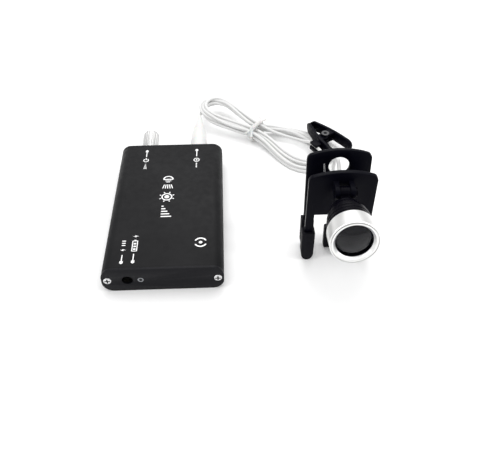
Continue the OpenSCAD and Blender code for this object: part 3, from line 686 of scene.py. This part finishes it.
def add_pan_head(bm, place):
    """A pan-head screw whose top is at the place's origin, with a cross recess in it. The recess faces take
    the second material, which paints shade into the recess.
    """
    sides = 40
    angles = [2 * math.pi * k / sides for k in range(sides)]
    rim = []
    for r, z in ((1.3, -8), (1.3, -1.1), (SCREW_HEAD_R_MM, -1.1), (SCREW_HEAD_R_MM, -0.3),
                 (1.9, -0.12), (1.72, 0)):
        rim.append([bm.verts.new(place @ Vector((r * math.cos(a) * MM, r * math.sin(a) * MM, z * MM)))
                    for a in angles])
    for a, b in zip(rim, rim[1:]):
        for k in range(sides):
            n = (k + 1) % sides
            bm.faces.new((a[k], a[n], b[n], b[k]))
    bm.faces.new(rim[0][::-1])
    half, reach, depth, taper = 0.36, 1.4, 0.8, 0.6
    cross = [(half, half), (half, reach), (-half, reach), (-half, half), (-reach, half),
             (-reach, -half), (-half, -half), (-half, -reach), (half, -reach), (half, -half),
             (reach, -half), (reach, half)]
    corners = len(cross)
    top = [bm.verts.new(place @ (Vector((u, v, 0)) * MM)) for u, v in cross]
    deep = [bm.verts.new(place @ (Vector((u * taper, v * taper, -depth)) * MM)) for u, v in cross]
    edges = [bm.edges.new((top[k], top[(k + 1) % corners])) for k in range(corners)]
    edges += [bm.edges.get((rim[-1][k], rim[-1][(k + 1) % sides])) for k in range(sides)]
    bmesh.ops.triangle_fill(bm, use_beauty=True, use_dissolve=False, edges=edges)
    # The recess walls and floor get material index 1, the jack's dark plastic: painted shade in the recess.
    for k in range(corners):
        n = (k + 1) % corners
        bm.faces.new((top[k], top[n], deep[n], deep[k])).material_index = 1
    bm.faces.new(deep).material_index = 1


def add_screws(mats):
    """Two pan-head screws on each end plate. Their cross recesses are painted shade in the jack's dark
    plastic.
    """
    for name, face in (("front_screws", -1), ("rear_screws", 1)):
        bm = bmesh.new()
        low, high = (Vector(c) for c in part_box(name))
        outer_y = low.y if face < 0 else high.y
        for x in (low.x + SCREW_HEAD_R_MM * MM, high.x - SCREW_HEAD_R_MM * MM):
            add_pan_head(bm, along((x, outer_y, CASE_MID_Z), -face * math.pi / 2))
        heads = finish_mesh(name + "_pan_heads", bm, mats["screw_steel"], BODY_OF[name], 30, [name])
        # The second material is the dark jack plastic, which paints the shade inside the cross recesses.
        heads.data.materials.append(mats["jack_plastic"])


def add_knob(mats):
    """The dimmer knob: shallow flutes round its side and a bore for the shaft in its back."""
    flutes, flute_depth, plain_end = 24, 0.2, 1.3
    low, high = (Vector(c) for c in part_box("dimmer_knob"))
    mid = (low + high) / 2
    place = along((mid.x, low.y, mid.z))
    length = (high.y - low.y) / MM
    radius = (high.x - low.x) / 2 / MM

    def fluted(r, z, a):
        if r < radius - flute_depth or not plain_end < z < length - plain_end:
            return r
        return r - flute_depth * max(0.0, math.cos(flutes * a)) ** 4

    bm = bmesh.new()
    lathe(bm, [(0, 8.1), (3.0, 8.1), (3.0, 0), (radius - 0.4, 0), (radius, 0.4), (radius, 1.2),
               (radius, 1.4), (radius, length - 1.4), (radius, length - 1.2), (radius, length - 0.5),
               (radius - 0.5, length), (3.9, length), (3.7, length - 0.15), (0, length - 0.15)],
          place, flutes * 12, 0.05, fluted)
    finish_mesh("knob_fluted", bm, mats["knob_aluminium"], "dimmer", 32, ["dimmer_knob"])


def add_plug(mats):
    """The output plug's grip and its ribbed strain relief."""
    low, high = (Vector(c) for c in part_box("output_plug"))
    x = (low.x + high.x) / 2
    place = along((x, CASE_HIGH.y + 0.0015, CASE_MID_Z))
    outline = [(0, -9.5), (2.0, -9.5), (2.3, -9.2), (2.3, 0.2), (5.1, 0.2), (5.4, 0.5), (5.4, 2.7),
               (5.25, 3.4)]
    for k in range(5):
        z = 4.8 + 1.3 * k
        r = 5.17 - 0.05 * k
        outline += [(r, z), (r - 0.2, z + 0.3), (r - 0.2, z + 0.55), (r - 0.04, z + 0.85)]
    outline += [(5.0, 11.8), (4.85, 14), (4.65, 17), (4.4, 20.6), (4.2, 22), (0, 22)]
    bm = bmesh.new()
    lathe(bm, outline, place, 96, 0.14)
    finish_mesh("plug_grip", bm, mats["white_moulded"], ROOT, 40, ["output_plug"])

    low, high = (Vector(c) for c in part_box("plug_strain_relief"))
    place = along((x, low.y, CASE_MID_Z))
    reach = (high.y - low.y) / MM
    outline = [(0, 0), (4.1, 0)]
    for k in range(5):
        z = 3 * k
        r = 4.1 * (1 - 0.13 * k)
        neck = 3.5 * (1 - 0.13 * k)
        outline += [(r, z + 0.1), (r - 0.15, z + 1.7), (neck, z + 1.95), (neck - 0.12, z + 2.9)]
    outline += [(1.6, 15.2), (1.4, 16), (1.12, reach), (0, reach)]
    bm = bmesh.new()
    lathe(bm, outline, place, 72, 0.14)
    finish_mesh("relief_ribbed", bm, mats["white_moulded"], ROOT, 40, ["plug_strain_relief"])


def add_clip_springs(mats):
    """Two torsion coils on the clip's pin; each has a leg up each plate."""
    wire, radius, turns = 0.4, 2.5, 4.5
    coil_x, coil_width, steps = 2.7, 3.4, 130
    fixed, moving = bmesh.new(), bmesh.new()
    for side in (-1, 1):
        def at(x, y, z):
            return CLIP_PIVOT + Vector((side * x, y, z)) * MM
        coil = []
        for i in range(steps + 1):
            t = i / steps
            a = math.pi + 2 * math.pi * turns * t
            coil.append(at(coil_x + coil_width * t, radius * math.cos(a), radius * math.sin(a)))
        front_leg = [at(coil_x, -radius - 1.25 + 0.02 * k, 12.2 - k * 1.2) for k in range(9)]
        front_leg += [at(coil_x, -radius - 0.7, 1.4), at(coil_x, -radius - 0.12, 0.6)]
        sweep(fixed, front_leg + coil, wire * MM, 12)
        rear_leg = [at(6.1, radius, -0.3), at(6.12, radius + 0.05, 0.8)]
        reach = 8 if side < 0 else 5
        rear_leg += [at(6.15 + 0.2 * k, radius + 0.06 + 0.165 * (k * 1.9), 1.2 + k * 1.9)
                     for k in range(1, reach + 1)]
        sweep(moving, rear_leg, wire * MM, 12)
    finish_mesh("spring_coils", fixed, mats["spring_wire"], ROOT, 50, ["clip_spring"])
    finish_mesh("spring_rear_legs", moving, mats["spring_wire"], BODY_OF["rear_plate"], 50)


def add_tie(mats):
    """A soft wire tie wound twice round the waist, its ends twisted and bent over."""
    turn = Matrix.Translation((TIE_AT_MM[0] * MM, TIE_AT_MM[1] * MM, 0)) @ Matrix.Rotation(TIE_TURN, 4, "Z")
    half_w, mid_z, half_z = 7.0, 5.3, 4.5
    wrap_r, twist_r = 0.75 * MM, 0.6 * MM

    def in_tie(x, y, z):
        return turn @ (Vector((x, y, z)) * MM)

    loop = []
    wraps, steps = 2.15, 44
    for i in range(int(wraps * steps) + 1):
        a = 2 * math.pi * i / steps - math.pi / 2
        c, q = math.cos(a), math.sin(a)
        y = half_w * math.copysign(abs(c) ** 0.7, c)
        z = mid_z + half_z * math.copysign(abs(q) ** 0.7, q)
        loop.append(in_tie(-1.5 + 3.0 * i / (wraps * steps), y, z))
    bm = bmesh.new()
    sweep(bm, loop, wrap_r, 12)
    top = mid_z + half_z
    for strand in (-1, 1):
        twist = []
        for i in range(34):
            t = i / 33
            a = strand * math.pi / 2 + 6 * math.pi * t
            twist.append(in_tie(0.75 * math.cos(a) + 0.4, 3.6 - 8.4 * t,
                                top + 0.55 + 0.6 * math.sin(a) - 0.9 * t * t))
        sweep(bm, twist, twist_r, 10)
    quarters = (0, 0.25, 0.5, 0.75, 1)
    for strand, lean in ((-1, -2.6), (1, 2.2)):
        x = 0.4 + 0.5 * strand
        low_end = [in_tie(x + lean * t * t, -4.8 - 4.2 * t, top - 0.3 - 2.6 * t) for t in quarters]
        sweep(bm, low_end, twist_r, 10)
        high_end = [in_tie(x + 0.8 * lean * t * t, 3.6 + 3.4 * t, top + 0.5 + 0.9 * t) for t in quarters]
        sweep(bm, high_end, twist_r, 10)
    finish_mesh("tie_wound", bm, mats["white_moulded"], ROOT, 60, ["cable_tie"])


class Pen:
    """Draws flat shapes on the case's top, in millimetres."""

    def __init__(self):
        self.bm = bmesh.new()
        self.top = CASE_HIGH.z / MM + 0.012

    def patch(self, points):
        """A flat shape. Neighbours get slightly different heights, so that none share a plane."""
        height = (self.top + 0.004 * (len(self.bm.faces) % 7)) * MM
        self.bm.faces.new([self.bm.verts.new((x * MM, y * MM, height)) for x, y in points])

    def bar(self, x0, y0, x1, y1, w):
        d = Vector((x1 - x0, y1 - y0)).normalized()
        n = Vector((-d.y, d.x)) * w / 2
        self.patch([(x0 + n.x, y0 + n.y), (x0 - n.x, y0 - n.y),
                    (x1 - n.x, y1 - n.y), (x1 + n.x, y1 + n.y)])

    def arc(self, cx, cy, radius, start, stop, w):
        steps = max(6, int(abs(stop - start) / 10))
        ring = [math.radians(start + (stop - start) * i / steps) for i in range(steps + 1)]
        for a, b in zip(ring, ring[1:]):
            inner, outer = radius - w / 2, radius + w / 2
            self.patch([(cx + outer * math.cos(a), cy + outer * math.sin(a)),
                        (cx + inner * math.cos(a), cy + inner * math.sin(a)),
                        (cx + inner * math.cos(b), cy + inner * math.sin(b)),
                        (cx + outer * math.cos(b), cy + outer * math.sin(b))])

    def dot(self, cx, cy, radius):
        sides = 20
        angles = [2 * math.pi * i / sides for i in range(sides)]
        self.patch([(cx + radius * math.cos(a), cy + radius * math.sin(a)) for a in angles])

    def pointer(self, x, y_dot, y_end, toward):
        """A short line that ends in an arrow head towards the nearer end plate."""
        self.dot(x, y_dot, 0.85)
        self.bar(x, y_dot, x, y_end, 0.5)
        self.patch([(x - 0.9, y_dot - toward * 0.9), (x, y_dot + toward * 1.2),
                    (x + 0.9, y_dot - toward * 0.9)])

    def bolt(self, x, y):
        self.patch([(x - 1.6, y + 0.15), (x + 0.3, y - 0.7), (x + 0.3, y - 0.05)])
        self.patch([(x - 0.3, y + 0.05), (x - 0.3, y + 0.7), (x + 1.6, y - 0.15)])


def dimmer_sign(pen, x):
    """An arrow, a power sign and bars that widen."""
    pen.pointer(x, 44.0, 38.5, 1)
    pen.arc(x, 35.2, 1.35, 120, 420, 0.5)
    pen.bar(x, 35.4, x, 37.3, 0.5)
    for k in range(5):
        half = 0.3 + 0.16 * k
        pen.bar(x - half, 31.6 - k, x + half, 31.6 - k, 0.4)


def output_sign(pen, x):
    """An arrow, a socket and a dashed line."""
    pen.pointer(x, 44.0, 38.0, 1)
    pen.arc(x, 34.6, 1.5, 0, 360, 0.5)
    pen.dot(x, 34.6, 0.55)
    for k in range(3):
        pen.bar(x, 31.8 - 1.6 * k, x, 30.8 - 1.6 * k, 0.7)


def lamp_sign(pen, x, y):
    """A lamp with its beam."""
    pen.arc(x, y, 2.6, 0, 180, 0.7)
    for half, drop, w in ((2.6, 0, 0.7), (1.7, 1.3, 0.5), (1.0, 2.3, 0.5)):
        pen.bar(x - half, y - drop, x + half, y - drop, w)
    for k in range(-2, 3):
        pen.bar(x + 0.95 * k, y - 4.5, x + 1.35 * k, y - 7.8, 0.5)


def sun_sign(pen, x, y):
    pen.arc(x, y, 2.6, 0, 360, 0.7)
    pen.dot(x, y, 1.3)
    for k in range(8):
        a = math.radians(22.5 + 45 * k)
        c, q = math.cos(a), math.sin(a)
        pen.bar(x + 3.3 * c, y + 3.3 * q, x + 4.2 * c, y + 4.2 * q, 0.6)


def rising_bars(pen, x, y):
    for k in range(5):
        pen.bar(x, y - 2.0 * k, x + 1.1 * (k + 1), y - 2.0 * k, 0.8)


def charging_sign(pen, x):
    """An arrow, a bolt and three bars."""
    pen.pointer(x, -45.0, -40.0, -1)
    pen.bolt(x, -36.6)
    for k in range(3):
        y = -33.4 + 1.5 * k
        pen.bar(x - 0.9, y, x + 0.9, y, 0.6)


def battery_sign(pen, x):
    """An arrow, and a battery lying along the case, with its charge marks and a bolt."""
    pen.pointer(x, -44.8, -39.4, -1)
    x0, x1, y0, y1 = x - 1.2, x + 1.2, -37.5, -30.5
    for a, b, c, d in ((x0, y0, x1, y0), (x0, y1, x1, y1), (x0, y0, x0, y1), (x1, y0, x1, y1)):
        pen.bar(a, b, c, d, 0.45)
    pen.bar(x - 0.5, y1 + 0.5, x + 0.5, y1 + 0.5, 0.5)
    for k in range(3):
        y = y0 + 1.3 + 1.9 * k
        pen.bar(x - 0.6, y, x + 0.6, y, 1.0)
    pen.bolt(x, -27.2)


def ring_sign(pen, x, y):
    """A plain ring in two halves round a dot."""
    pen.arc(x, y, 2.9, 25, 155, 0.8)
    pen.arc(x, y, 2.9, 205, 335, 0.8)
    pen.dot(x, y, 0.9)


def add_prints(mats):
    """White pictograms on the case's top, at each control and port and along the middle."""
    pen = Pen()
    dimmer_sign(pen, -14.2)
    output_sign(pen, 15.1)
    lamp_sign(pen, -0.3, 17.4)
    sun_sign(pen, -0.3, 2.6)
    rising_bars(pen, -2.7, -5.0)
    charging_sign(pen, -19.8)
    battery_sign(pen, -14.2)
    ring_sign(pen, 18.6, -32.7)
    finish_mesh("case_prints", pen.bm, mats["print_white"], ROOT, 30)


def add_lapel_detail(mats):
    """Finger ribs and gripping teeth on the two jaws, and the pivot lug's round face."""
    splay, grip, finger = math.radians(10.6), 16.4, 17.2

    def face_y(x):
        """How far a jaw's inner face is from the middle plane, at a place along its length."""
        t = (x + grip) / (grip + finger)
        return 0.25 + (grip + finger) * t * math.tan(splay) + 1.5 * math.sin(math.pi * t)

    def rib(bm, x, y, half, steps, radius, sides):
        """A round rib across a jaw's width."""
        line = [ON_LAPEL @ (Vector((x, y, -half + 2 * half * j / steps)) * MM) for j in range(steps + 1)]
        sweep(bm, line, radius * MM, sides)

    for name, side, node_name in (("inner_jaw_ribs", 1, "lapel_inner_jaw"),
                                  ("outer_jaw_ribs", -1, "lapel_outer_jaw")):
        bm = bmesh.new()
        for k in range(5):
            x = 9.0 + 1.3 * k
            rib(bm, x, side * (face_y(x) + 1.72), 2.4 - 0.05 * k * k, 6, 0.28, 8)
        for k in range(5):
            x = -14.4 + 1.3 * k
            rib(bm, x, side * (face_y(x) + 0.08), 1.9, 4, 0.22, 6)
        finish_mesh(name, bm, mats["black_plastic"], BODY_OF[node_name], 50)

    bm = bmesh.new()
    lathe(bm, [(1.05, 2.85), (2.5, 2.85), (2.5, 3.15), (2.3, 3.3), (1.3, 3.3), (1.05, 3.1), (1.05, 2.85)],
          ON_LAPEL, 64, 0.05)
    finish_mesh("pivot_lug_face", bm, mats["lug_grey"], BODY_OF["lapel_inner_jaw"], 30)


def add_charge_light(mats):
    """The charge light: a clear rim round a sunken middle, whose dark jack plastic is painted shade in the
    hole.
    """
    low, high = (Vector(c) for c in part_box("charge_led"))
    place = along(((low.x + high.x) / 2, low.y, CASE_MID_Z))
    middle_r, middle_depth = 0.83, 1.0
    bm = bmesh.new()
    lathe(bm, [(0, 5), (1.5, 5), (1.5, 0.1), (1.4, 0), (0.95, 0), (0.85, 0.1), (0.8, 0.6), (0, 0.75)],
          place, 48, 0.03)
    # The sunken middle's faces get the jack's dark plastic: painted shade in the hole.
    for face in bm.faces:
        at = place.inverted() @ face.calc_center_median() / MM
        if math.hypot(at.x, at.y) < middle_r and at.z < middle_depth:
            face.material_index = 1
    piece = finish_mesh("charge_light", bm, mats["led_epoxy"], ROOT, 30, ["charge_led"])
    # The dark jack plastic is the painted shade of the sunken middle.
    piece.data.materials.append(mats["jack_plastic"])


mats = make_materials()
add_camera()
add_stage()
cable, cable_exit, cable_length = add_cable(mats)
dress_cad(mats)
add_lamp(mats)
add_knob(mats)
add_screws(mats)
add_plug(mats)
add_clip_springs(mats)
add_tie(mats)
add_prints(mats)
add_lapel_detail(mats)
add_charge_light(mats)
soften_cad(mats)
